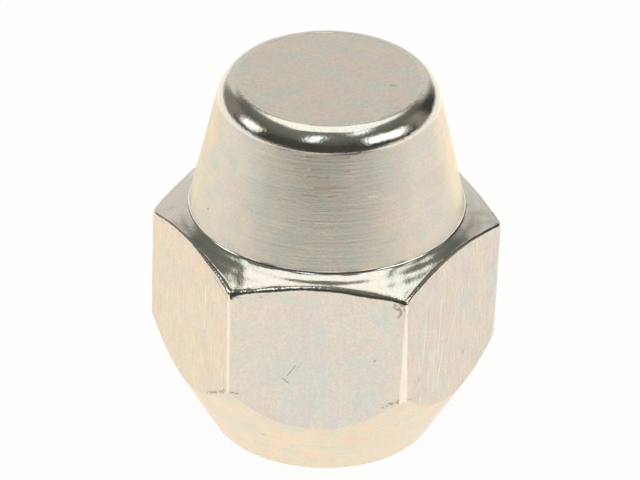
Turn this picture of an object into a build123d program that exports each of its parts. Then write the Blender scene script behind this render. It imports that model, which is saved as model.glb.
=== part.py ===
from build123d import *
import os
from math import radians, sqrt, tan

# One-piece lug nut: a forged and plated steel hexagon with a conical seat below
# and a closed, tapered cap above. Millimetres, +Z up along the nut's axis. The
# origin is the centre of the seat's small end, which goes into the wheel first,
# and one flat of the hexagon faces -Y.

# Thread, M12 x 1.5, in a blind hole
thread_diameter = 12.0
thread_pitch = 1.5
mouth_relief = 0.4          # the countersink opens this far outside the thread
mouth_angle = 120.0        # included angle of the countersink
punch_angle = 120.0         # included angle of the hole's blind end
closed_end = 4.2            # metal between the tip of the hole and the top

# Seat, the cone that centres the nut in the wheel
seat_angle = 60.0           # included
rim_wall = 1.6              # from the outside of the thread to the seat's small end
rim_chamfer = 0.2

# Hexagon, for a 21 mm socket
across_flats = 21.0
corner_radius = 0.7         # upright corners, which the forging die doesn't fill
shoulder_angle = 30.0       # slope of the cone on top, from the horizontal
shoulder_edge_radius = 0.4  # where that cone runs into the flats; the seat's edges are cut sharp

# Cap, tapered and flat-topped
total_height = 26.8
cap_foot_height = 17.1      # where the cap's side meets the shoulder
shoulder_width = 1.0        # from the cap's foot out to the middle of a flat
cap_taper = 12.3            # slope of the cap's side, from the vertical
crown_radius = 1.5
foot_radius = 0.45

# Distances from the axis that follow from them
flat_distance = across_flats / 2
corner_distance = across_flats / sqrt(3)
rim_distance = thread_diameter / 2 + rim_wall
mouth_distance = thread_diameter / 2 + mouth_relief
cap_foot_distance = flat_distance - shoulder_width
cap_top_distance = cap_foot_distance - (total_height - cap_foot_height) * tan(radians(cap_taper))

# The tapped hole before threading: the minor radius lies 5/8 of the height of
# the thread's sharp 60 degree triangle inside the nominal radius
minor_distance = thread_diameter / 2 - 5 / 8 * thread_pitch * sqrt(3) / 2


def seat_height(distance):
    """Height of the seat cone at a distance from the axis."""
    return (distance - rim_distance) / tan(radians(seat_angle / 2))


def shoulder_height(distance):
    """Height of the shoulder cone at a distance from the axis."""
    return cap_foot_height - (distance - cap_foot_distance) * tan(radians(shoulder_angle))


def turned(outline):
    """Solid turned about Z from an outline drawn as (distance, height)."""
    return revolve(Plane.XZ * outline, Axis.Z)


def turned_blank():
    """Seat, shoulder and cap as one turned form that just holds the sharp hexagon."""
    rim = (rim_distance, 0)
    cap_foot = (cap_foot_distance, cap_foot_height)
    cap_top = (cap_top_distance, total_height)
    outline = make_face(Polyline(
        (0, 0),
        rim,
        (corner_distance, seat_height(corner_distance)),
        (corner_distance, shoulder_height(corner_distance)),
        cap_foot,
        cap_top,
        (0, total_height),
        close=True,
    ))
    outline = chamfer(outline.vertices().sort_by_distance(rim)[0], rim_chamfer)
    for place, radius in ((cap_foot, foot_radius), (cap_top, crown_radius)):
        outline = fillet(outline.vertices().sort_by_distance(place)[0], radius)
    return turned(outline)


def hexagon_prism():
    """Hexagon with rounded corners, as tall as the nut."""
    hexagon = RegularPolygon(flat_distance, 6, major_radius=False)
    return extrude(fillet(hexagon.vertices(), corner_radius), total_height)


def soften_shoulder(nut):
    """Round the curved edges that the shoulder cone cuts on the flats and corners."""
    middle_distance = (cap_foot_distance + flat_distance) / 2
    middle_height = (seat_height(corner_distance) + shoulder_height(corner_distance)) / 2
    shoulder_edges = [
        edge
        for edge in nut.edges().filter_by(GeomType.LINE, reverse=True)
        if Vector(edge.center().X, edge.center().Y).length > middle_distance
        and edge.center().Z > middle_height
    ]
    return fillet(shoulder_edges, shoulder_edge_radius)


def blind_hole():
    """Hole at the thread's minor diameter, with a countersunk mouth and a conical end."""
    mouth_depth = (mouth_distance - minor_distance) / tan(radians(mouth_angle / 2))
    tip_height = total_height - closed_end
    wall_top = tip_height - minor_distance / tan(radians(punch_angle / 2))
    return turned(make_face(Polyline(
        (0, 0),
        (mouth_distance, 0),
        (minor_distance, mouth_depth),
        (minor_distance, wall_top),
        (0, tip_height),
        close=True,
    )))


lug_nut = soften_shoulder(turned_blank() & hexagon_prism()) - blind_hole()
lug_nut.label = "lug_nut"

os.makedirs("parts", exist_ok=True)
export_step(lug_nut, "parts/lug_nut.step")
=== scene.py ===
import math
import bpy
import numpy as np
from mathutils import Matrix, Vector


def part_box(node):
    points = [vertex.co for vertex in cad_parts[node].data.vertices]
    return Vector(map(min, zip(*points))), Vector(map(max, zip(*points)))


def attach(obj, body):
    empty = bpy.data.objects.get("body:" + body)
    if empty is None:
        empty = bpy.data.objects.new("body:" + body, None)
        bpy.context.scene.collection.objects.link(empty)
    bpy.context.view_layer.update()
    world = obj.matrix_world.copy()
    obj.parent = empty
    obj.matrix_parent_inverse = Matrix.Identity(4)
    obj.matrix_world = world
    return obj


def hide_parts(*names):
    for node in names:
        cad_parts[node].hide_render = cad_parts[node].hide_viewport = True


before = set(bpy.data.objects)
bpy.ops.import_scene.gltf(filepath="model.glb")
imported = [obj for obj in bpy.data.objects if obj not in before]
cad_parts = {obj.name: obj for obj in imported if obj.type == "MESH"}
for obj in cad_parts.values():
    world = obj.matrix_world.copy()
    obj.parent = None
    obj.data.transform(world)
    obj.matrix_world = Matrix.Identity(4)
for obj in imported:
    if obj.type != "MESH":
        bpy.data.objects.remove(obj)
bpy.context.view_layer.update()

# One-piece lug nut in bright plated steel. Lengths are millimetres until a mesh is filled, then metres.
mm = 0.001
low, high = (np.array(corner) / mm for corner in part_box("lug_nut"))
nutHeight = high[2] - low[2]
flatDistance = (high[1] - low[1]) / 2       # from the axis to a flat


# Prints a line for a finished stage
def report(stage):
    print("lug nut:", stage)


# Angles are degrees, 0 at the front and 90 at the right. Lists of six go round that way, from the front flat
# or from the corner right of it.
lugNut = {
    "cornerHead": (0.20, 0.7, 0.7, 0.7, 1.0, 0.40),     # radii of the upright corners at the shoulder
    "cornerFoot": (0.72, 1.9, 0.6, 0.7, 0.8, 0.35),     # and at the seat
    "columnsPerFlat": 26,
    "columnsPerCorner": 10,
    "seatAngle": 60.0,
    "seatEnd": 7.6,                 # small end of the seat, from the axis
    "seatEdge": 0.06,               # the seat's cutter leaves its outer edge almost sharp
    "rimBreak": 0.2,
    "mouth": 6.4,                   # countersink, from the axis
    "mouthAngle": 120.0,
    "closedEnd": 4.2,               # thickness over the hole's tip
    "punchAngle": 120.0,            # drill point
    "shoulderAngle": 30.0,
    "edgeRadius": 0.40,             # round from the shoulder to the flats, at the cap's foot distance
    "edgeGrowth": 0.12,             # what that radius gains per mm outward
    "edgeAtSides": 0.5,             # share of it that is left at the left and right
    "edgeVaries": (0.08, 1.5, 5.0),     # share by which it varies, and over what lengths
    "capFoot": (9.5, 17.02),        # distance from the axis, height
    "footRadius": 0.26,
    "capTaper": 12.3,
    "crown": (2.2, 1.06, 40.0),     # radius at the side, radius at the top, degrees that the top one turns
    "thread": {
        "majorRadius": 6.0,         # M12
        "pitch": 1.5,
        "rowsPerTurn": 16,
        "fullDepth": 15.0,          # height up to which the tap cuts in full
        "runOut": 3.0,
    },
    "shoulder": {
        # how far the outer edge stands off its height, every 15 degrees
        "lift": (-0.09, -0.16, -0.02, 0.05, 0.07, 0.13, 0.17, 0.13, 0.1, 0.07, 0.05, 0.05,
                 0.05, 0.05, 0.05, 0.05, 0.03, -0.03, -0.09, -0.06, 0, 0, 0.03, -0.10),
        "rise": 0.03,               # what the shoulder gains on its cone per mm out from the cap's foot
        "flare": 0.008,             # and per square mm, which leaves it hollow on the way
        "waveDepth": 0.0130,        # waves that the cutter left
        "waveSpacing": 0.60,
        "waveStart": 0.50,          # of a spacing
        "waveBreadth": 1.6,         # the more, the nearer to the corners they stay full
        "waveOffMiddle": 0.25,      # share of them that is strongest between a flat's middle and its corners
        "waveAtSides": 0.25,        # share of them that is left at the left and right
    },
    # how far each stretch wanders from its true form, and over what lengths
    "unevenness": {
        "flat": (0.008, 3.0, 8.0),
        "edge": (0.012, 0.6, 1.6),
        "shoulder": (0.009, 0.9, 2.6),
        "foot": (0.006, 0.9, 2.6),
        "side": (0.003, 2.5, 7.0),
        "crown": (0.004, 1.2, 3.5),
        "seat": (0.004, 2.0, 6.0),
    },
    # knocked corners: the point, how far the burr reaches and how high it stands
    "burrs": [
        ((-5.8, -10.5, 15.4), 0.5, 0.02),
        ((5.9, -10.4, 15.0), 0.7, 0.045),
        ((-6.0, -10.4, 7.8), 0.6, 0.018),
        ((5.6, -10.5, 7.5), 0.9, 0.04),
    ],
    "burrLengths": (0.3, 0.8),      # of the unevenness on a burr
    "wornGlintCorners": (0.5, 4, 4, 4, 4, 2.5),      # a small number wears a whole rounding, a large one its crest; the worn part also carries a painted highlight
    "wornGlintFully": 1.5,               # the more, the wider the part of a rounding that is worn bare and carries the painted highlight
    "drawnSides": (0.3, 1.1, 0.8, 0.6, 0.8, 0.95),      # how strong the drawing lines are on the flats
    # how satin each stretch is (0 bright, 1 satin), how strong its turning lines are
    "finish": {
        "bore": (0.9, 0.0),
        "rim": (0.8, 0.2),
        "seat": (1.0, 0.6),
        "seatEdge": (0.6, 0.0),
        "flat": (0.85, 0.0),
        "edge": (0.15, 0.0),
        "shoulder": (0.3, 0.35),
        "foot": (0.2, 0.3),
        "side": (1.0, 1.0),
        "crownFoot": (0.5, 0.4),
        "crown": (0.0, 0.0),
        "top": (0.5, 0.0),
    },
    # steps from row to row in each stretch, for the crown in each of its arcs
    "steps": {"tip": 7, "tapEnd": 5, "rim": 4, "seat": 16, "seatEdge": 4, "flat": 24, "edge": 10,
              "shoulder": 37, "foot": 10, "side": 26, "crown": 13, "top": 18},
}
columns = 6 * (lugNut["columnsPerFlat"] + lugNut["columnsPerCorner"])


# Rise over run at an angle: its tangent
def slope(degrees):
    return math.tan(math.radians(degrees))


# Vectors over their lengths
def unit(v):
    return v / np.linalg.norm(v, axis=-1, keepdims=True)


# One row of (distance, height), with the same of each or one for every column
def rowAt(distance, height):
    return np.stack([np.broadcast_to(distance, columns), np.broadcast_to(height, columns)], -1)


# Points of rows of (distance, height) at their columns' angles: (d sin a, -d cos a, h)
def inSpace(rows, angle):
    return np.stack([rows[..., 0] * np.sin(angle), -rows[..., 0] * np.cos(angle), rows[..., 1]], -1)


# Positions 0 to 1 that crowd to both ends: (1 - cos(pi s)) / 2 with s in even steps
def crowded(steps):
    return (1 - np.cos(np.pi * np.linspace(0, 1, steps + 1))) / 2


# Rows strictly between two rows: start + (end - start) * t. Unless even, they crowd to both ends, so that the
# shading of an edge stays at the edge.
def run(start, end, steps, even=False):
    t = np.linspace(0, 1, steps + 1) if even else crowded(steps)
    return start + (end - start) * t[1:-1, None, None]


# Rounds a corner with an arc tangent to both runs. Its centre is radius / sin(half the inside angle) along
# the bisector, and a point on it is the two end arms weighted by the sines of the turn left and of the turn
# made, over the sine of the whole turn.
def roundCorner(before, corner, after, radius, steps):
    toBefore, toAfter = unit(before - corner), unit(after - corner)
    inside = np.arccos(np.clip((toBefore * toAfter).sum(-1, keepdims=True), -1, 1))
    centre = corner + unit(toBefore + toAfter) * radius / np.sin(inside / 2)
    startArm = corner + toBefore * radius / np.tan(inside / 2) - centre
    endArm = corner + toAfter * radius / np.tan(inside / 2) - centre
    turn = np.pi - inside
    t = np.linspace(0, 1, steps + 1)[:, None, None]
    return centre + (np.sin((1 - t) * turn) * startArm + np.sin(t * turn) * endArm) / np.sin(turn)


# Rounds a corner with two arcs. A line cuts the corner off so that the last arc turns lastTurn and the first
# one the rest. By the law of sines it meets a leg at its length times sin(the far turn) / sin(the whole
# turn).
def easeCorner(before, corner, after, firstRadius, lastRadius, lastTurn, steps):
    toBefore, toAfter = unit(before - corner), unit(after - corner)
    whole = np.pi - np.arccos((toBefore * toAfter).sum(-1, keepdims=True))
    last = math.radians(lastTurn)
    cut = firstRadius * np.tan((whole - last) / 2) + lastRadius * np.tan(last / 2)
    first = corner + toBefore * cut * np.sin(last) / np.sin(whole)
    second = corner + toAfter * cut * np.sin(whole - last) / np.sin(whole)
    return np.concatenate([roundCorner(before, first, second, firstRadius, steps),
                           roundCorner(first, second, after, lastRadius, steps)[1:]])


# Smooth unevenness: the sum of sine waves with random headings, phases and lengths between two limits
def wander(points, shortest, longest, seed, waves=28):
    rng = np.random.default_rng(seed)
    heading = unit(rng.normal(size=(waves, 3)))
    length = shortest * (longest / shortest) ** rng.random(waves)
    phase = rng.random(waves) * 2 * math.pi
    return np.sin(points @ (heading / length[:, None]).T * 2 * math.pi + phase).sum(-1) / math.sqrt(waves / 2)


# Plan of the rounded hexagon as (angle, distance): along a flat the point is (across, flatDistance), and
# round a corner it is the fillet's centre plus radius times the turning normal. Both are then turned to their
# side.
def hexagonPlan(radii):
    radii = np.array(radii)[:, None]
    reach = (flatDistance - radii) * slope(30)      # from the middle of a flat to where its corner starts
    s = crowded(lugNut["columnsPerFlat"])[:-1]
    across = -np.roll(reach, 1, axis=0) + (np.roll(reach, 1, axis=0) + reach) * s
    flat = np.stack([across, np.full(across.shape, flatDistance)], -1)
    normal = np.radians(60) * np.linspace(0, 1, lugNut["columnsPerCorner"] + 1)[:-1]
    corner = np.stack([reach + radii * np.sin(normal), flatDistance - radii + radii * np.cos(normal)], -1)
    side = np.concatenate([flat, corner], axis=1)
    turn = np.radians(60) * np.arange(6)[:, None]
    angle = turn + np.arctan2(side[..., 0], side[..., 1])
    return angle.ravel(), np.hypot(side[..., 0], side[..., 1]).ravel()


# Depth of the thread groove behind the minor radius. Along the axis it is a trapezium, its root an eighth of
# the pitch wide and its flanks 30 degrees off square; it climbs one pitch a turn and fades over the run-out.
def threadDepth(angle, height):
    thread = lugNut["thread"]
    rootHalf, flankHeight = thread["pitch"] / 16, thread["pitch"] * 5 / 16
    fromRoot = np.abs((height / thread["pitch"] - angle / (2 * math.pi)) % 1 - 0.5) * thread["pitch"]
    cut = (rootHalf + flankHeight - fromRoot) / slope(30)
    fade = np.clip((thread["fullDepth"] + thread["runOut"] - height) / thread["runOut"], 0, 1)
    return np.clip(cut, 0, flankHeight / slope(30)) * fade


# Rows of the blind hole, from its tip down to the mouth. The minor radius is the major one less 5/8 of the
# height of the thread's triangle, pitch * sqrt(3) / 2. The wall stands there plus the depth of the groove, or
# on the countersink's cone where that is wider.
def holeRows(angle, tipHeight):
    thread, steps = lugNut["thread"], lugNut["steps"]
    minorRadius = thread["majorRadius"] - 5 / 8 * thread["pitch"] * math.sqrt(3) / 2
    tip = rowAt(0, tipHeight)
    drilled = rowAt(minorRadius, tipHeight - minorRadius / slope(lugNut["punchAngle"] / 2))
    tapTop, step = thread["fullDepth"] + thread["runOut"], thread["pitch"] / thread["rowsPerTurn"]
    heights = np.arange(tapTop, 0, -step)[:, None]
    mouth = np.maximum(lugNut["mouth"] - heights * slope(lugNut["mouthAngle"] / 2), 0)
    wall = np.maximum(minorRadius + threadDepth(angle, heights), mouth)
    tapped = np.stack([wall, np.broadcast_to(heights, wall.shape)], -1)
    return [
        ("bore", run(tip, drilled, steps["tip"])),
        ("bore", drilled[None]),
        ("bore", run(drilled, tapped[0], steps["tapEnd"])),
        ("bore", tapped),
        ("rim", rowAt(lugNut["mouth"], 0)[None]),
    ]


# Height by which the shoulder's outer edge stands off, blended from place to place by cos squared
def shoulderLift(angle):
    place = np.radians(15) * np.arange(24)
    off = (angle[:, None] - place + np.pi) % (2 * np.pi) - np.pi
    weight = np.where(np.abs(off) < np.radians(15), np.cos(6 * off) ** 2, 0)
    return weight @ np.array(lugNut["shoulder"]["lift"])


# The shoulder's outer edge before it is rounded. With x its distance from the cap's foot, it lies on the cone
# plus (rise + flare * x) * x square to the cone, and plus the lift. Gives the row and x.
def shoulderTop(angle, distance):
    shoulder = lugNut["shoulder"]
    reach = distance - lugNut["capFoot"][0]
    rise = (shoulder["rise"] + shoulder["flare"] * reach) / math.cos(math.radians(lugNut["shoulderAngle"]))
    height = lugNut["capFoot"][1] + (rise - slope(lugNut["shoulderAngle"])) * reach + shoulderLift(angle)
    return rowAt(distance, height), reach


# Radius of that edge's round: it grows with x, shrinks to its share at the sides by cos squared, and varies
def edgeRadius(angle, reach):
    share, shortest, longest = lugNut["edgeVaries"]
    atSides = lugNut["edgeAtSides"]
    radius = lugNut["edgeRadius"] + lugNut["edgeGrowth"] * reach
    radius = radius * (atSides + (1 - atSides) * np.cos(angle) ** 2)
    ring = inSpace(rowAt(10, 10), angle)        # about where the edge runs
    return (radius * (1 + share * wander(ring, shortest, longest, seed=2)))[:, None]


# All rows of the nut, from the blind tip down the thread, out over the rim and up to the middle of the top.
# Lower rows follow the hexagon's plan at the seat, upper ones its plan at the shoulder. Gives the points, the
# name of each row's stretch, and the tip's height.
def nutRows():
    steps = lugNut["steps"]
    footAngle, footDistance = hexagonPlan(lugNut["cornerFoot"])
    headAngle, headDistance = hexagonPlan(lugNut["cornerHead"])
    tipHeight = nutHeight - lugNut["closedEnd"]
    halfSeat = math.radians(lugNut["seatAngle"] / 2)
    seatEnd, rimBreak = lugNut["seatEnd"], lugNut["rimBreak"]
    rimIn = rowAt(seatEnd - rimBreak, 0)
    rimOut = rowAt(seatEnd + rimBreak * math.sin(halfSeat), rimBreak * math.cos(halfSeat))
    seatTop = rowAt(footDistance, (footDistance - seatEnd) / math.tan(halfSeat))
    flatTop, reach = shoulderTop(headAngle, headDistance)
    capDistance, capHeight = lugNut["capFoot"]
    capFoot = rowAt(capDistance, capHeight)
    capTop = rowAt(capDistance - (nutHeight - capHeight) * slope(lugNut["capTaper"]), nutHeight)
    middle = rowAt(0, nutHeight)

    straightUp = np.array([0, 50.0])        # along a flat, past its end
    seatEdge = roundCorner(rimOut, seatTop, seatTop + straightUp, lugNut["seatEdge"], steps["seatEdge"])
    edge = roundCorner(flatTop - straightUp, flatTop, capFoot, edgeRadius(headAngle, reach), steps["edge"])
    foot = roundCorner(flatTop, capFoot, capTop, lugNut["footRadius"], steps["foot"])
    crown = easeCorner(capFoot, capTop, middle, *lugNut["crown"], steps["crown"])

    below = holeRows(footAngle, tipHeight) + [
        ("rim", run(rowAt(lugNut["mouth"], 0), rimIn, steps["rim"])),
        ("rim", np.stack([rimIn, rimOut])),
        ("seat", run(rimOut, seatEdge[0], steps["seat"])),
        ("seatEdge", seatEdge),
    ]
    above = [
        ("edge", edge),
        ("shoulder", run(edge[-1], foot[0], steps["shoulder"], even=True)),
        ("foot", foot),
        ("side", run(foot[-1], crown[0], steps["side"])),
        ("crownFoot", crown[:1]),
        ("crown", crown[1:]),
        ("top", run(crown[-1], middle, steps["top"])),
    ]

    # a flat is straight from its lower row to its upper one, also where the corner's radius changes
    flat = run(inSpace(seatEdge[-1], footAngle), inSpace(edge[0], headAngle), steps["flat"])
    parts = ([(name, inSpace(rows, footAngle)) for name, rows in below] + [("flat", flat)]
             + [(name, inSpace(rows, headAngle)) for name, rows in above])
    points = np.concatenate([part for _, part in parts])
    names = np.concatenate([[name] * len(part) for name, part in parts])
    return points, names, tipHeight


# Outward normal of each grid point: the step round the nut crossed with the step along the outline, plus next
# to nothing, so that none has the length 0
def gridNormals(points):
    around = np.roll(points, -1, axis=1) - np.roll(points, 1, axis=1)
    return unit(np.cross(around, np.gradient(points, axis=0)) + 1e-12)


# How strong the shoulder's waves are at an angle. Over each flat it is a cosine cut off at 1, mixed with a
# sine that peaks between the middle and the corners. Round the nut it falls off to the sides by cos squared.
def waveSwell(angle):
    shoulder = lugNut["shoulder"]
    offMiddle, atSides = shoulder["waveOffMiddle"], shoulder["waveAtSides"]
    overFlat = np.clip(shoulder["waveBreadth"] * np.abs(np.cos(3 * angle)), 0, 1)
    swell = (1 - offMiddle) * overFlat + offMiddle * np.abs(np.sin(6 * angle))
    return swell * (atSides + (1 - atSides) * np.cos(angle) ** 2)


# Moves each stretch along its normal by its unevenness. With x the distance from the cap's foot and X that of
# the outermost row, the shoulder also sinks by flare * x * (X - x) and carries the cutter's waves, a sine of
# x. Both fade with the square of how far the surface faces up. A burr is a bell times an unevenness of its
# own, and the bell is exp(-(distance / reach) ** 2).
def roughen(points, names):
    normal = gridNormals(points)
    shift = np.zeros(points.shape[:2])
    for number, (name, (depth, shortest, longest)) in enumerate(lugNut["unevenness"].items()):
        rows = names == name
        shift[rows] += depth * wander(points[rows], shortest, longest, seed=number + 3)

    shoulder = lugNut["shoulder"]
    rows = np.isin(names, ("edge", "shoulder", "foot"))
    x, y = points[rows][..., 0], points[rows][..., 1]
    fromCap = np.hypot(x, y) - lugNut["capFoot"][0]
    turns = fromCap / shoulder["waveSpacing"] - shoulder["waveStart"]
    wave = shoulder["waveDepth"] * waveSwell(np.arctan2(x, -y)) * np.sin(2 * math.pi * turns)
    hollow = -shoulder["flare"] * fromCap * (fromCap.max(axis=0) - fromCap)
    facesUp = np.clip(normal[rows][..., 2] / math.cos(math.radians(lugNut["shoulderAngle"])), 0, 1)
    shift[rows] += (wave + hollow) * facesUp ** 2

    rows = np.isin(names, ("seatEdge", "flat", "edge"))
    for number, (centre, reach, height) in enumerate(lugNut["burrs"]):
        bell = np.exp(-(((points[rows] - centre) / reach) ** 2).sum(-1))
        shift[rows] += height * bell * wander(points[rows], *lugNut["burrLengths"], seed=number + 20)
    return points + normal * shift[..., None]


# Wear and painted highlight on the upright corners, per column: a power of sin(pi t) across each rounding,
# cut off at 1
def cornerWearAndGlint():
    t = np.linspace(0, 1, lugNut["columnsPerCorner"] + 1)[:-1]
    power = np.array(lugNut["wornGlintCorners"])[:, None]
    wornAndGlint = np.clip(lugNut["wornGlintFully"] * np.sin(np.pi * t) ** power, 0, 1)
    return np.concatenate([np.zeros((6, lugNut["columnsPerFlat"])), wornAndGlint], axis=1).ravel()


# Strength of the drawing lines, per column: each side's own on its flat, full on the roundings
def drawingStrength():
    onFlats = np.repeat(np.array(lugNut["drawnSides"])[:, None], lugNut["columnsPerFlat"], axis=1)
    return np.concatenate([onFlats, np.ones((6, lugNut["columnsPerCorner"]))], axis=1).ravel()


# Quads of a grid of points numbered row * across + column; a closed grid joins its last column to its first
def gridQuads(rows, across, closed=False):
    i, j = np.meshgrid(np.arange(rows - 1), np.arange(across if closed else across - 1), indexing="ij")
    beside = (j + 1) % across
    return np.stack([i * across + j, i * across + beside, (i + 1) * across + beside, (i + 1) * across + j],
                    -1).reshape(-1, 4)


# Closes the rows round the axis into one mesh, with a fan of triangles round a pole at each end
def buildNut():
    points, names, tipHeight = nutRows()
    points = roughen(points, names)
    tip = len(names) * columns
    vertices = np.vstack([points.reshape(-1, 3), [0, 0, tipHeight], [0, 0, nutHeight]])
    quads = gridQuads(len(names), columns, closed=True)
    column = np.arange(columns)
    following = (column + 1) % columns
    lastRow = tip - columns
    tipFan = np.stack([np.full(columns, tip), following, column], -1)
    topFan = np.stack([lastRow + column, lastRow + following, np.full(columns, tip + 1)], -1)

    mesh = bpy.data.meshes.new("lugNut")
    sizes = np.concatenate([np.full(len(quads), 4), np.full(2 * columns, 3)])
    corners = np.concatenate([quads.ravel(), tipFan.ravel(), topFan.ravel()])
    mesh.vertices.add(len(vertices))
    mesh.vertices.foreach_set("co", (vertices * mm).ravel())
    mesh.loops.add(len(corners))
    mesh.loops.foreach_set("vertex_index", corners)
    mesh.polygons.add(len(sizes))
    mesh.polygons.foreach_set("loop_start", np.concatenate([[0], np.cumsum(sizes)[:-1]]))
    mesh.polygons.foreach_set("use_smooth", np.ones(len(sizes), bool))
    mesh.update(calc_edges=True)
    mesh.validate()

    # what the finish follows, one value for each point: by row, or by column on the upright faces
    satin, turned = np.array([lugNut["finish"][name] for name in names]).T
    upright = np.isin(names, ("flat", "edge", "seatEdge"))
    byRow = {"satin": satin, "turned": turned}
    byRow.update({zone: (names == zone).astype(float) for zone in ("top", "side", "edge", "crown")})
    values = {zone: np.append(np.repeat(rows, columns), [rows[0], rows[-1]]) for zone, rows in byRow.items()}
    for zone, along in (("corner", cornerWearAndGlint()), ("drawn", drawingStrength())):
        values[zone] = np.append(np.outer(upright, along), [0, 0])
    for zone, share in values.items():
        mesh.attributes.new(zone, "FLOAT", "POINT").data.foreach_set("value", share)
    nut = bpy.data.objects.new("lugNutBody", mesh)
    bpy.context.collection.objects.link(nut)
    return nut


# sRGB hex to linear: c / 12.92 below 0.04045, ((c + 0.055) / 1.055) ** 2.4 above
def toLinear(code):
    channels = [int(code[k:k + 2], 16) / 255 for k in (1, 3, 5)]
    return [c / 12.92 if c <= 0.04045 else ((c + 0.055) / 1.055) ** 2.4 for c in channels] + [1.0]


# Adds one node; settings are its properties, inputs are values or sockets to link
def addNode(tree, kind, inputs=None, **settings):
    made = tree.nodes.new(kind)
    for name, value in settings.items():
        setattr(made, name, value)
    for name, value in (inputs or {}).items():
        if isinstance(value, bpy.types.NodeSocket):
            tree.links.new(value, made.inputs[name])
        else:
            made.inputs[name].default_value = value
    return made


# Takes a number from the range start to end to the range least to most, and holds it there: it becomes
# least + (most - least) * (number - start) / (end - start)
def ranged(tree, number, start, end, least=0.0, most=1.0, **settings):
    return addNode(tree, "ShaderNodeMapRange", {"Value": number, "From Min": start, "From Max": end,
                                                "To Min": least, "To Max": most}, **settings).outputs[0]


# Product, larger one or other operation on numbers
def onNumbers(tree, operation, *numbers, **settings):
    return addNode(tree, "ShaderNodeMath", dict(enumerate(numbers)), operation=operation,
                   **settings).outputs[0]


# The same on vectors. A dot product or a distance comes out at output 1.
def onVectors(tree, operation, *vectors, output=0):
    made = addNode(tree, "ShaderNodeVectorMath", dict(enumerate(vectors)), operation=operation)
    return made.outputs[output]


# Takes a colour by a share of the way to another one, or to the product of the two. A Mix node has its
# colours at inputs 6 and 7 and its result at output 2.
def onColours(tree, share, colour, other, blend="MIX"):
    return addNode(tree, "ShaderNodeMix", {0: share, 6: colour, 7: other}, data_type="RGBA",
                   blend_type=blend).outputs[2]


# A material with an empty node tree
def newMaterial(name):
    material = bpy.data.materials.new(name)
    material.use_nodes = True
    material.node_tree.nodes.clear()
    return material, material.node_tree


plating = {
    "warmFilm": "#F2E4D1",          # passivate film, thick
    "coolFilm": "#E8E5D9",          # passivate film, thin
    "roseFilm": "#F2DFD3",
    "capFilm": "#F6FAFC",           # tint of the film on the turned side, where it is thinnest
    "bare": "#F2EFE7",              # plating where tumbling has rubbed the film off
    "driftSpread": (0.38, 0.62),    # of its noise, from warm to cool film
    "blushSpread": (0.48, 0.70),    # of its noise, from no rose film to its most
    "blushMost": 0.8,
    "filmKept": (0.05, 0.45),       # how satin a stretch is where the film begins and where it is whole
    "filmOnCrown": 0.75,            # share of it that stayed on the crown
    "usualNoise": (0.3, 0.7),       # what nearly all of a noise lies between
    "grainTone": (0.91, 1.05),      # brightness of the grain
    # marks in the order that they lie on each other: colour, share of it where the mark is whole
    "marks": {
        "stain": ("#C2AC84", 0.75),
        "scuff": ("#9A9284", 0.75),
        "burr": ("#6E675B", 0.6),
        "pit": ("#5A544A", 0.5),
        "rubAndGlint": ("#FFFAF2", 0.9),    # bare bright plating on rubbed corners and in scratches, made lighter than bare plating as a painted highlight and glint
    },
    "markReach": 0.7,               # a mark ends at this share of its width from its line
    "markCrisp": 0.25,              # and is whole within this one; a stain is whole only on the line
    "ragged": 0.12,                 # mm by which outlines wander, with the grain
    "smear": 0.5,                   # mm by which stains wander up and down, with the blush
    "burrBits": (0.44, 0.56),       # of its noise, between the bits of a burr
    "drawnTone": 0.38,              # brightness that the drawing lines swing over
    "turnedTone": 0.17,             # brightness that the turning lines swing over
    "toneBelow": 0.65,              # share of the swing that darkens
    "brightRough": 0.055,
    "satinRough": 0.31,
    "roughSpread": (0.85, 1.15),    # roughness from patch to patch
    "cornerRough": 0.5,             # roughness of a worn corner, as a share of what it was
    # mm of relief over a pattern's whole range, of which a noise uses about a quarter
    "turningDepth": 0.0076,
    "lapDepth": 0.003,
    "dintDepth": 0.0112,
    "burrDepth": 0.024,
    "grainDepth": 0.0064,
    "pitDepth": 0.03,
}

# Noises on the plating: size in mm, how it is drawn out along x, y and z (small is long), detail, roughness
# of the detail, distortion. Lines and grit are too fine to show at their real size, and are drawn as coarse
# as they need to show.
patterns = {
    "drift": (1.6, (1, 1, 1), 3, 0.5, 0),               # patches of thick and thin film
    "blush": (1.7778, (1, 1, 1), 2, 0.5, 0.4),          # patches of rose
    "grain": (0.16, (1, 1, 1), 3, 0.6, 0),              # grit of the tumbled steel
    "bits": (0.2222, (1, 1, 1), 2, 0.5, 0),             # what breaks up the burrs' colour
    "drawing": (0.2, (1, 1, 0.16), 3, 0.65, 0),         # lines of the drawn bar, down the flats
    "turning": (0.17, (0.0272, 0.0272, 1), 3, 0.7, 0),  # lines of the lathe tool, round the axis
    "lapping": (0.25, (0.175, 1, 0.175), 3, 0.6, 0),    # streaks across the top
    "dints": (0.26, (1, 1, 1), 4, 0.7, 0),              # tumbling marks on the bright crown
    "edgeBurr": (0.3846, (1, 1, 1), 3, 0.6, 0),         # burr of the hexagon's upper edges
}


# Point on a flat, from the middle of the side and from the seat's end
def onFlat(side, across, height):
    turn = math.radians(60 * side)
    return (flatDistance * math.sin(turn) + across * math.cos(turn),
            across * math.sin(turn) - flatDistance * math.cos(turn), height)


# Point on the turned side of the cap
def onCap(degrees, height):
    distance = lugNut["capFoot"][0] - (height - lugNut["capFoot"][1]) * slope(lugNut["capTaper"])
    turn = math.radians(degrees)
    return distance * math.sin(turn), -distance * math.cos(turn), height
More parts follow.
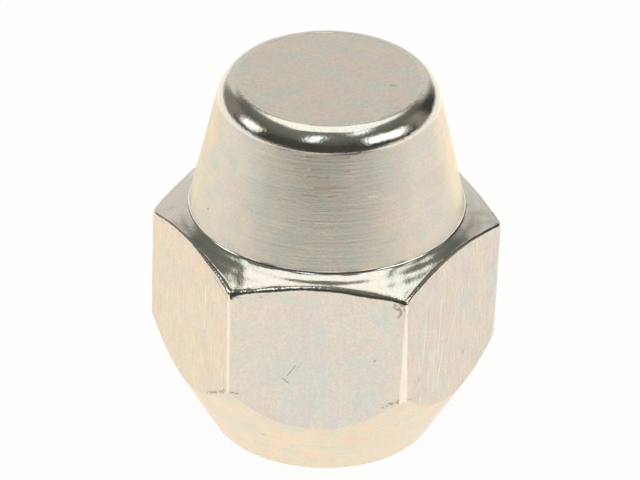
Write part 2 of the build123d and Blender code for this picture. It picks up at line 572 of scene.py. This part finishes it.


# Marks by kind: start, end and width in mm. Pits and burrs are dark and burrs ragged, scuffs grey, rubs
# light, as bare plating with a painted glint, and stains are brown smears along the turning.
marks = {
    "pit": [
        ((4.2, -0.5, 26.8), (4.5, -0.6, 26.8), 0.12),
        (onCap(-60, 18.8), onCap(-60, 18.75), 0.12),
        (onFlat(0, 3.98, 10.9), onFlat(0, 3.98, 10.85), 0.10),
        (onFlat(1, 1.4, 8.0), onFlat(1, 1.4, 7.8), 0.10),
        (onFlat(1, -4.25, 8.6), onFlat(1, -4.25, 8.4), 0.09),
        ((-3.66, -8.86, 3.44), (-3.5, -8.9, 3.44), 0.10),
        ((5.48, -8.64, 4.55), (5.48, -8.64, 4.6), 0.09),
    ],
    "burr": [
        (onFlat(-1, 3.0, 6.0), onFlat(-1, 5.5, 7.5), 0.20),
        (onFlat(-1, 5.4, 7.5), onFlat(-1, 5.8, 7.8), 0.18),
        (onFlat(0, -6.05, 7.9), onFlat(0, -5.3, 7.7), 0.12),
        (onFlat(0, 4.6, 7.2), onFlat(0, 6.15, 7.95), 0.24),
        (onFlat(0, 5.5, 7.45), onFlat(0, 6.0, 7.6), 0.20),
        (onFlat(1, -5.9, 7.85), onFlat(1, -5.2, 7.5), 0.24),
        (onFlat(0, 5.6, 15.5), onFlat(0, 6.1, 14.7), 0.24),
        (onFlat(0, 5.2, 15.35), onFlat(0, 5.75, 14.9), 0.34),
        (onFlat(0, 5.75, 14.95), onFlat(0, 5.55, 14.45), 0.26),
        (onFlat(0, 5.75, 15.55), onFlat(0, 6.1, 15.3), 0.22),
        (onFlat(0, -6.0, 15.5), onFlat(0, -5.3, 15.35), 0.24),
        (onFlat(0, -3.95, 15.6), onFlat(0, -3.7, 15.4), 0.18),
    ],
    "scuff": [
        (onFlat(0, -1.41, 10.19), onFlat(0, -1.96, 9.34), 0.08),
        (onFlat(0, -2.25, 9.11), onFlat(0, -1.9, 8.78), 0.10),
        (onFlat(0, -1.0, 10.45), onFlat(0, -1.27, 9.95), 0.05),
    ],
    # light scratches: bare plating, painted lighter than it is as a glint
    "rubAndGlint": [
        (onFlat(1, -1.57, 13.6), onFlat(1, -1.97, 8.8), 0.10),
        (onFlat(1, 1.1, 13.4), onFlat(1, -0.98, 9.2), 0.08),
        (onFlat(1, -2.37, 11.6), onFlat(1, -2.37, 6.6), 0.10),
        (onFlat(1, -2.9, 10.4), onFlat(1, -3.0, 7.2), 0.07),
        (onFlat(1, -3.5, 12.6), onFlat(1, -3.9, 9.0), 0.07),
        (onFlat(1, -1.2, 9.8), onFlat(1, -1.9, 6.6), 0.08),
        (onFlat(-1, 2.6, 14.4), onFlat(-1, 2.5, 10.9), 0.12),
        (onCap(22.2, 22.2), onCap(26.1, 22.15), 0.12),
    ],
    "stain": [
        (onCap(-8, 25.13), onCap(13, 25.12), 0.24),
        (onCap(-14, 24.2), onCap(-8, 24.22), 0.10),
        (onCap(-5, 24.2), onCap(13, 24.2), 0.20),
        (onCap(-7, 23.72), onCap(3, 23.74), 0.10),
        (onCap(-3.4, 23.03), onCap(6.5, 23.0), 0.24),
        (onCap(6.5, 22.98), onCap(12.7, 22.94), 0.13),
        (onCap(-9.4, 22.42), onCap(-1.8, 22.42), 0.13),
        (onCap(3.3, 22.43), onCap(7, 22.44), 0.12),
    ],
}


# How far a mark covers the surface: 1 near its line, 0 from markReach of its width on. The point's foot on
# the line is start + line * t, with t held between 0 and 1.
def markCover(tree, place, start, end, width, crisp):
    start, line = Vector(start), Vector(end) - Vector(start)
    arm = onVectors(tree, "SUBTRACT", place, start)
    along = onVectors(tree, "DOT_PRODUCT", arm, line / line.length_squared, output=1)
    held = onNumbers(tree, "MULTIPLY", along, 1.0, use_clamp=True)
    foot = addNode(tree, "ShaderNodeVectorMath", {0: line, "Scale": held}, operation="SCALE")
    gap = onVectors(tree, "DISTANCE", arm, foot.outputs[0], output=1)
    return ranged(tree, gap, width * plating["markReach"], width * crisp)


# The largest cover of all marks of a kind
def kindCover(tree, place, kind):
    crisp = 0 if kind == "stain" else plating["markCrisp"]
    whole = None
    for start, end, width in marks[kind]:
        cover = markCover(tree, place, start, end, width, crisp)
        whole = cover if whole is None else onNumbers(tree, "MAXIMUM", whole, cover)
    return whole


# Film on the plating: two slow noises choose between straw, grey and rose, the turned side has its tint, and
# the bright stretches are bare but for the edges and most of the crown
def filmColour(tree, noise, zone):
    drift = ranged(tree, noise["drift"].outputs["Fac"], *plating["driftSpread"])
    blush = ranged(tree, noise["blush"].outputs["Fac"], *plating["blushSpread"], 0.0, plating["blushMost"])
    film = onColours(tree, drift, toLinear(plating["warmFilm"]), toLinear(plating["coolFilm"]))
    film = onColours(tree, blush, film, toLinear(plating["roseFilm"]))
    film = onColours(tree, zone["side"], film, toLinear(plating["capFilm"]), "MULTIPLY")
    kept = ranged(tree, zone["satin"], *plating["filmKept"])
    onCrown = onNumbers(tree, "MULTIPLY", zone["crown"], plating["filmOnCrown"])
    for share in (onCrown, zone["edge"]):
        kept = onNumbers(tree, "MAXIMUM", kept, share)
    return onColours(tree, kept, toLinear(plating["bare"]), film)


# Cover of each kind of mark. Outlines wander with the grain by (noise - 0.5) * ragged, stains only up and
# down with the blush. Burrs are broken into bits, and the worn corners take the rub colour too, which paints
# a highlight along them.
def markCovers(tree, inMm, noise, zone):
    centred = onVectors(tree, "SUBTRACT", noise["grain"].outputs["Color"], (0.5, 0.5, 0.5))
    ragged = onVectors(tree, "MULTIPLY_ADD", centred, (plating["ragged"],) * 3, inMm)
    smear = plating["smear"]
    raised = onVectors(tree, "MULTIPLY_ADD", noise["blush"].outputs["Color"], (0.0, 0.0, smear), inMm)
    smeared = onVectors(tree, "SUBTRACT", raised, (0.0, 0.0, smear / 2))
    covers = {}
    for kind in marks:
        covers[kind] = kindCover(tree, smeared if kind == "stain" else ragged, kind)
    bits = ranged(tree, noise["bits"].outputs["Fac"], *plating["burrBits"])
    covers["burr"] = onNumbers(tree, "MULTIPLY", covers["burr"], bits)
    # the worn corners take the light rub colour: bare plating and a painted highlight along their crests
    covers["rubAndGlint"] = onNumbers(tree, "MAXIMUM", covers["rubAndGlint"], zone["corner"])
    return covers


# Colour of the surface: the film, times the grain's tone, under the marks, times the tone of the drawing and
# turning lines, which is 1 + swing * strength
def surfaceColour(tree, noise, zone, covers):
    grain = ranged(tree, noise["grain"].outputs["Fac"], *plating["usualNoise"], *plating["grainTone"])
    colour = onColours(tree, 1.0, filmColour(tree, noise, zone), grain, "MULTIPLY")
    for kind, (code, share) in plating["marks"].items():
        part = onNumbers(tree, "MULTIPLY", covers[kind], share)
        colour = onColours(tree, part, colour, toLinear(code))
    below = plating["toneBelow"]
    for lines, where, depth in (("drawing", "drawn", plating["drawnTone"]),
                                ("turning", "turned", plating["turnedTone"])):
        swing = ranged(tree, noise[lines].outputs["Fac"], 0.0, 1.0, -below * depth, (1 - below) * depth)
        tone = onNumbers(tree, "MULTIPLY_ADD", swing, zone[where], 1.0)
        colour = onColours(tree, 1.0, colour, tone, "MULTIPLY")
    return colour


# Roughness: by stretch, times a share that changes from patch to patch, times one for worn corners
def surfaceRoughness(tree, noise, zone):
    rough = ranged(tree, zone["satin"], 0.0, 1.0, plating["brightRough"], plating["satinRough"])
    patches = ranged(tree, noise["drift"].outputs["Fac"], *plating["usualNoise"], *plating["roughSpread"])
    wornAndGlint = ranged(tree, zone["corner"], 0.0, 1.0, 1.0, plating["cornerRough"])
    for share in (patches, wornAndGlint):
        rough = onNumbers(tree, "MULTIPLY", rough, share)
    return rough


# Fine relief, one bump on the other: each noise within its zone, the grain all over, and the pits sunk in
def surfaceRelief(tree, noise, zone, covers):
    bump = None
    for pattern, where, depth in (("turning", "turned", "turningDepth"), ("lapping", "top", "lapDepth"),
                                  ("dints", "crown", "dintDepth"), ("edgeBurr", "edge", "burrDepth"),
                                  ("grain", None, "grainDepth"), ("pit", None, "pitDepth")):
        height = covers["pit"] if pattern == "pit" else noise[pattern].outputs["Fac"]
        if where:
            height = onNumbers(tree, "MULTIPLY", height, zone[where])
        under = {"Normal": bump.outputs[0]} if bump else {}
        bump = addNode(tree, "ShaderNodeBump", {"Height": height, "Distance": plating[depth] * mm, **under},
                       invert=(pattern == "pit"))
    return bump.outputs[0]


# Steel turned, tumbled, zinc-nickel plated and passivated. The plating is a pale warm metal; the clear film
# on it drifts between straw, grey and rose; tumbling leaves a fine satin grain with bright worn edges, whose
# brightness is partly a painted highlight.
def brightPlatedSteel():
    material, tree = newMaterial("brightPlatedSteel")
    place = addNode(tree, "ShaderNodeTexCoord")
    inMm = addNode(tree, "ShaderNodeVectorMath", {0: place.outputs["Object"], "Scale": 1 / mm},
                   operation="SCALE").outputs[0]
    zone = {name: addNode(tree, "ShaderNodeAttribute", attribute_name=name).outputs["Fac"]
            for name in ("satin", "turned", "top", "side", "edge", "crown", "corner", "drawn")}
    noise = {}
    for name, (size, drawnOut, detail, roughness, distortion) in patterns.items():
        noise[name] = addNode(tree, "ShaderNodeTexNoise", {
            "Vector": onVectors(tree, "MULTIPLY", inMm, drawnOut), "Scale": 1 / size, "Detail": detail,
            "Roughness": roughness, "Distortion": distortion})
    covers = markCovers(tree, inMm, noise, zone)
    shader = addNode(tree, "ShaderNodeBsdfPrincipled", {
        "Base Color": surfaceColour(tree, noise, zone, covers), "Metallic": 1.0,
        "Roughness": surfaceRoughness(tree, noise, zone), "Normal": surfaceRelief(tree, noise, zone, covers)})
    addNode(tree, "ShaderNodeOutputMaterial", {"Surface": shader.outputs["BSDF"]})
    return material


studio = {
    "cameraAzimuth": 2.54,
    "cameraElevation": 31.5,
    "cameraRoll": 1.33,
    "cameraDistance": 561.2,
    "aim": (-0.411, -0.016, 13.88),
    "lens": 458.0,
    "sensor": 36.0,
    "clip": (0.05, 10),             # m
    "background": "#FFFFFF",
    "worldLevel": 0.95,
    "floorHalf": 1.6,               # m
    "floorGlow": 0.95,              # share of the floor that shines as background
    "floorColour": "#F4F2EC",       # what lights the nut and takes its shadow
    "roomRadius": 1.2,              # m
    "roomTop": 89.9,                # elevation of its last row
    "roomGrid": (73, 31),           # points across and up
    "roomWall": "#3F423E",
    "roomRoof": "#747973",
    "roofRange": (0.3, 0.9),        # sine of the elevation from wall to roof
    "panelDistance": 0.5,           # m
    "panelGrid": 25,                # points each way
}

# Panels round the nut, seen only in reflections: azimuth and elevation of the middle, degrees across and up,
# how far it leans over, how soft the left, right, lower and upper edges are (share of the panel), how soft
# its round lower end is (0 for a rectangle), brightness, colour
panels = {
    "leftBox": (-86, 22, 30, 26, 0, (0.45, 0.15, 0.3, 0.3), 0, 1.8, "#FFFFFF"),
    "frontSlit": (-18.4, 48, 2.6, 25, 12, (0.3, 0.3, 0.1, 0.1), 0, 2.2, "#EEF6FF"),
    "frontBox": (-11.5, 48, 8.0, 25, 12, (0.12, 0.35, 0.06, 0.15), 0, 2.3, "#DFF0FF"),
    "rightBox": (68, 27, 46, 22, 15, (0.05, 0.25, 0.12, 0.15), 0, 1.9, "#FFFFFF"),
    "rightUpper": (53, 62, 18, 9, -30, (0.15, 0.15, 0.2, 0.2), 0, 1.8, "#F6FAFF"),
    "archBox": (180, 73, 50, 58, 0, (0.03, 0.03, 0.03, 0.03), 0.04, 1.17, "#FAFEFC"),
    "backWall": (182, 18, 88, 50, 0, (0.30, 0.15, 0.04, 0.13), 0, 0.73, "#F8F8F6"),
    "leftRear": (-122, 14, 44, 48, 0, (0.2, 0.2, 0.1, 0.2), 0, 0.24, "#FFF8EE"),
    "rightRear": (107, 18, 26, 50, 0, (0.3, 0.3, 0.1, 0.2), 0, 0.26, "#FFF8EE"),
}

# Cards lying round the nut, seen only in reflections: left, right, near and far side in mm, soft edge in mm,
# height, brightness, colour
cards = {
    "warmTable": (-90, 90, -90, 90, 30, 0.05, 1.04, "#FFF7EA"),
    "coolStrip": (-12, 12, -78, -11.5, 9, 0.10, 0.94, "#F8FBFD"),
    "rightSheet": (12.5, 55, -8, 26, 4, 0.08, 1.0, "#FAF8F5"),
    "rearRight": (8, 62, 26, 80, 7, 0.12, 1.28, "#FFF1DC"),
    "rearLeft": (-62, -10, 30, 80, 9, 0.14, 1.16, "#FFEFD6"),
}

# Dark screen that stands in front of the nut, from the table up, seen only in reflections
screen = {
    "distance": 130,
    "middle": -4,                   # degrees
    "across": 200,                  # degrees
    "height": 66,
    "grid": 33,                     # points across
    "softSide": 0.5,                # share of its width
    "foot": "#C2C4C4",
    "head": "#454743",
    "change": (0.10, 0.34),         # share of its height from foot to head colour
}


# Directions of azimuths and elevations in degrees: (sin a cos e, -cos a cos e, sin e), one to a row
def directions(azimuth, elevation):
    a, e = np.radians(azimuth), np.radians(elevation)
    return np.stack([np.sin(a) * np.cos(e), -np.cos(a) * np.cos(e), np.sin(e)], -1).reshape(-1, 3)


# Adds an object from points in metres, with one material
def addObject(name, points, quads, material):
    mesh = bpy.data.meshes.new(name)
    mesh.from_pydata(np.asarray(points).tolist(), [], np.asarray(quads).tolist())
    mesh.materials.append(material)
    made = bpy.data.objects.new(name, mesh)
    bpy.context.collection.objects.link(made)
    return made


# Gives a mesh the UV map "across" from one u and v per vertex
def addAcross(mesh, u, v):
    layer = mesh.uv_layers.new(name="across")
    vertex = np.empty(len(mesh.loops), int)
    mesh.loops.foreach_get("vertex_index", vertex)
    layer.data.foreach_set("uv", np.stack([u.ravel()[vertex], v.ravel()[vertex]], -1).ravel())


# Hides an object from all but reflections
def onlyReflected(obj):
    obj.visible_camera = False
    obj.visible_diffuse = False
    obj.visible_shadow = False
    obj.visible_transmission = False
    obj.visible_volume_scatter = False


# Product of smooth steps along axes, each given as (axis, where it is 0, where it is 1)
def softMask(tree, place, steps):
    axes = addNode(tree, "ShaderNodeSeparateXYZ", {0: place})
    mask = None
    for axis, start, end in steps:
        step = ranged(tree, axes.outputs[axis], start, end, interpolation_type="SMOOTHSTEP")
        mask = step if mask is None else onNumbers(tree, "MULTIPLY", mask, step)
    return mask


# Material output that glows where the mask is 1 and is clear where it is 0
def maskedGlow(tree, mask, colour, level):
    glow = addNode(tree, "ShaderNodeEmission", {"Color": colour, "Strength": level})
    clear = addNode(tree, "ShaderNodeBsdfTransparent")
    mixed = addNode(tree, "ShaderNodeMixShader", {0: mask, 1: clear.outputs[0], 2: glow.outputs[0]})
    addNode(tree, "ShaderNodeOutputMaterial", {"Surface": mixed.outputs[0]})


# 1 for what is seen as background, directly, in metal or through glass, and 0 for what lights the nut
def seenAsBackground(tree):
    path = addNode(tree, "ShaderNodeLightPath")
    seen = path.outputs["Is Camera Ray"]
    for kind in ("Is Glossy Ray", "Is Transmission Ray"):
        seen = onNumbers(tree, "MAXIMUM", seen, path.outputs[kind])
    return seen


# Plain sky, at level 1 as background and at worldLevel where it lights the nut
def makeWorld():
    world = bpy.data.worlds.new("studioWorld")
    bpy.context.scene.world = world
    world.use_nodes = True
    tree = world.node_tree
    tree.nodes.clear()
    level = ranged(tree, seenAsBackground(tree), 0.0, 1.0, studio["worldLevel"], 1.0)
    sky = addNode(tree, "ShaderNodeBackground", {"Color": toLinear(studio["background"]), "Strength": level})
    addNode(tree, "ShaderNodeOutputWorld", {"Surface": sky.outputs["Background"]})


# Floor: matte where it lights the nut, and floorGlow * glow + (1 - floorGlow) * matte as background
def makeFloor():
    material, tree = newMaterial("paleFloor")
    matte = addNode(tree, "ShaderNodeBsdfDiffuse", {"Color": toLinear(studio["floorColour"])})
    glow = addNode(tree, "ShaderNodeEmission", {"Color": toLinear(studio["background"]), "Strength": 1.0})
    share = onNumbers(tree, "MULTIPLY", seenAsBackground(tree), studio["floorGlow"])
    mixed = addNode(tree, "ShaderNodeMixShader", {0: share, 1: matte.outputs[0], 2: glow.outputs[0]})
    addNode(tree, "ShaderNodeOutputMaterial", {"Surface": mixed.outputs[0]})
    half = studio["floorHalf"]
    corners = [(-half, -half, 0), (half, -half, 0), (half, half, 0), (-half, half, 0)]
    addObject("studioFloor", corners, [(0, 1, 2, 3)], material)


# Dark room round the table: half a sphere, radius times the direction. Its grey goes from wall to roof by a
# smooth step of the direction's height.
def makeRoom():
    material, tree = newMaterial("darkRoom")
    material.cycles.emission_sampling = "NONE"
    place = addNode(tree, "ShaderNodeTexCoord")
    direction = onVectors(tree, "NORMALIZE", place.outputs["Object"])
    roof = softMask(tree, direction, [("Z", *studio["roofRange"])])
    shade = onColours(tree, roof, toLinear(studio["roomWall"]), toLinear(studio["roomRoof"]))
    glow = addNode(tree, "ShaderNodeEmission", {"Color": shade, "Strength": 1.0})
    addNode(tree, "ShaderNodeOutputMaterial", {"Surface": glow.outputs[0]})
    across, up = studio["roomGrid"]
    azimuth, elevation = np.meshgrid(np.linspace(-180, 180, across), np.linspace(0, studio["roomTop"], up))
    points = studio["roomRadius"] * directions(azimuth, elevation)
    onlyReflected(addObject("darkRoom", points, gridQuads(up, across), material))


# A panel is part of a ball round the nut: the front's directions by the two angles across it, turned to the
# panel's middle. A round one also fades below its middle by a smooth step of the distance from there, so that
# it is an arch upside down.
def makePanel(name, azimuth, elevation, across, up, lean, soft, roundSoft, level, colour):
    material, tree = newMaterial(name)
    place = addNode(tree, "ShaderNodeUVMap", uv_map="across")
    mask = softMask(tree, place.outputs[0], [("X", 0, soft[0]), ("X", 1, 1 - soft[1]),
                                             ("Y", 0, soft[2]), ("Y", 1, 1 - soft[3])])
    if roundSoft:
        lowerHalf = onVectors(tree, "MINIMUM", place.outputs[0], (1.0, 0.5, 0.0))
        arm = onVectors(tree, "DISTANCE", lowerHalf, (0.5, 0.5, 0.0), output=1)
        arch = ranged(tree, arm, 0.5, 0.5 - roundSoft, interpolation_type="SMOOTHSTEP")
        mask = onNumbers(tree, "MULTIPLY", mask, arch)
    maskedGlow(tree, mask, toLinear(colour), level)
    count = studio["panelGrid"]
    u, v = np.meshgrid(np.linspace(0, 1, count), np.linspace(0, 1, count))
    turn = (Matrix.Rotation(math.radians(azimuth), 3, "Z") @ Matrix.Rotation(math.radians(-elevation), 3, "X")
            @ Matrix.Rotation(math.radians(lean), 3, "Y"))
    points = studio["panelDistance"] * directions((u - 0.5) * across, (v - 0.5) * up) @ np.array(turn).T
    panel = addObject(name, points, gridQuads(count, count), material)
    addAcross(panel.data, u, v)
    onlyReflected(panel)


# A card is a rectangle that glows but for its edges, which fade by smooth steps
def makeCard(name, left, right, near, far, soft, height, level, colour):
    material, tree = newMaterial(name)
    material.cycles.emission_sampling = "NONE"
    place = addNode(tree, "ShaderNodeTexCoord")
    edges = (("X", left, soft), ("X", right, -soft), ("Y", near, soft), ("Y", far, -soft))
    steps = [(axis, at * mm, (at + fade) * mm) for axis, at, fade in edges]
    maskedGlow(tree, softMask(tree, place.outputs["Object"], steps), toLinear(colour), level)
    plan = ((left, near), (right, near), (right, far), (left, far))
    corners = [(x * mm, y * mm, height * mm) for x, y in plan]
    onlyReflected(addObject(name, corners, [(0, 1, 2, 3)], material))


# The screen is a strip of a cylinder round the nut, and its grey goes from foot to head with its height
def makeScreen():
    material, tree = newMaterial("darkScreen")
    material.cycles.emission_sampling = "NONE"
    place = addNode(tree, "ShaderNodeUVMap", uv_map="across")
    soft = screen["softSide"]
    mask = softMask(tree, place.outputs[0], [("X", 0, soft), ("X", 1, 1 - soft)])
    axes = addNode(tree, "ShaderNodeSeparateXYZ", {0: place.outputs[0]})
    rising = ranged(tree, axes.outputs["Y"], *screen["change"])
    shade = onColours(tree, rising, toLinear(screen["foot"]), toLinear(screen["head"]))
    maskedGlow(tree, mask, shade, 1.0)
    u, v = np.meshgrid(np.linspace(0, 1, screen["grid"]), np.linspace(0, 1, 2))
    strip = np.stack([np.full(u.shape, screen["distance"]), v * screen["height"]], -1)
    points = inSpace(strip, np.radians(screen["middle"] + (u - 0.5) * screen["across"])).reshape(-1, 3) * mm
    made = addObject("darkScreen", points, gridQuads(2, screen["grid"]), material)
    addAcross(made.data, u, v)
    onlyReflected(made)


# The camera stands at its distance from the aim, in the direction of its azimuth and elevation
def makeCamera():
    back = Vector(directions(studio["cameraAzimuth"], studio["cameraElevation"])[0])
    camera = bpy.data.cameras.new("camera")
    camera.sensor_width = studio["sensor"]
    camera.lens = studio["lens"]
    camera.clip_start, camera.clip_end = studio["clip"]
    holder = bpy.data.objects.new("camera", camera)
    holder.rotation_mode = "QUATERNION"
    roll = Matrix.Rotation(math.radians(studio["cameraRoll"]), 4, "Z").to_quaternion()
    holder.rotation_quaternion = back.to_track_quat("Z", "Y") @ roll
    holder.location = (Vector(studio["aim"]) + back * studio["cameraDistance"]) * mm
    bpy.context.collection.objects.link(holder)
    bpy.context.scene.camera = holder


nut = buildNut()
report("mesh made, %d faces" % len(nut.data.polygons))
nut.data.materials.append(brightPlatedSteel())
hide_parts("lug_nut")
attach(nut, "root")
report("plating applied")
makeWorld()
makeFloor()
makeRoom()
for name, values in panels.items():
    makePanel(name, *values)
for name, values in cards.items():
    makeCard(name, *values)
makeScreen()
makeCamera()
bpy.context.scene.view_settings.view_transform = "Standard"
report("studio ready")
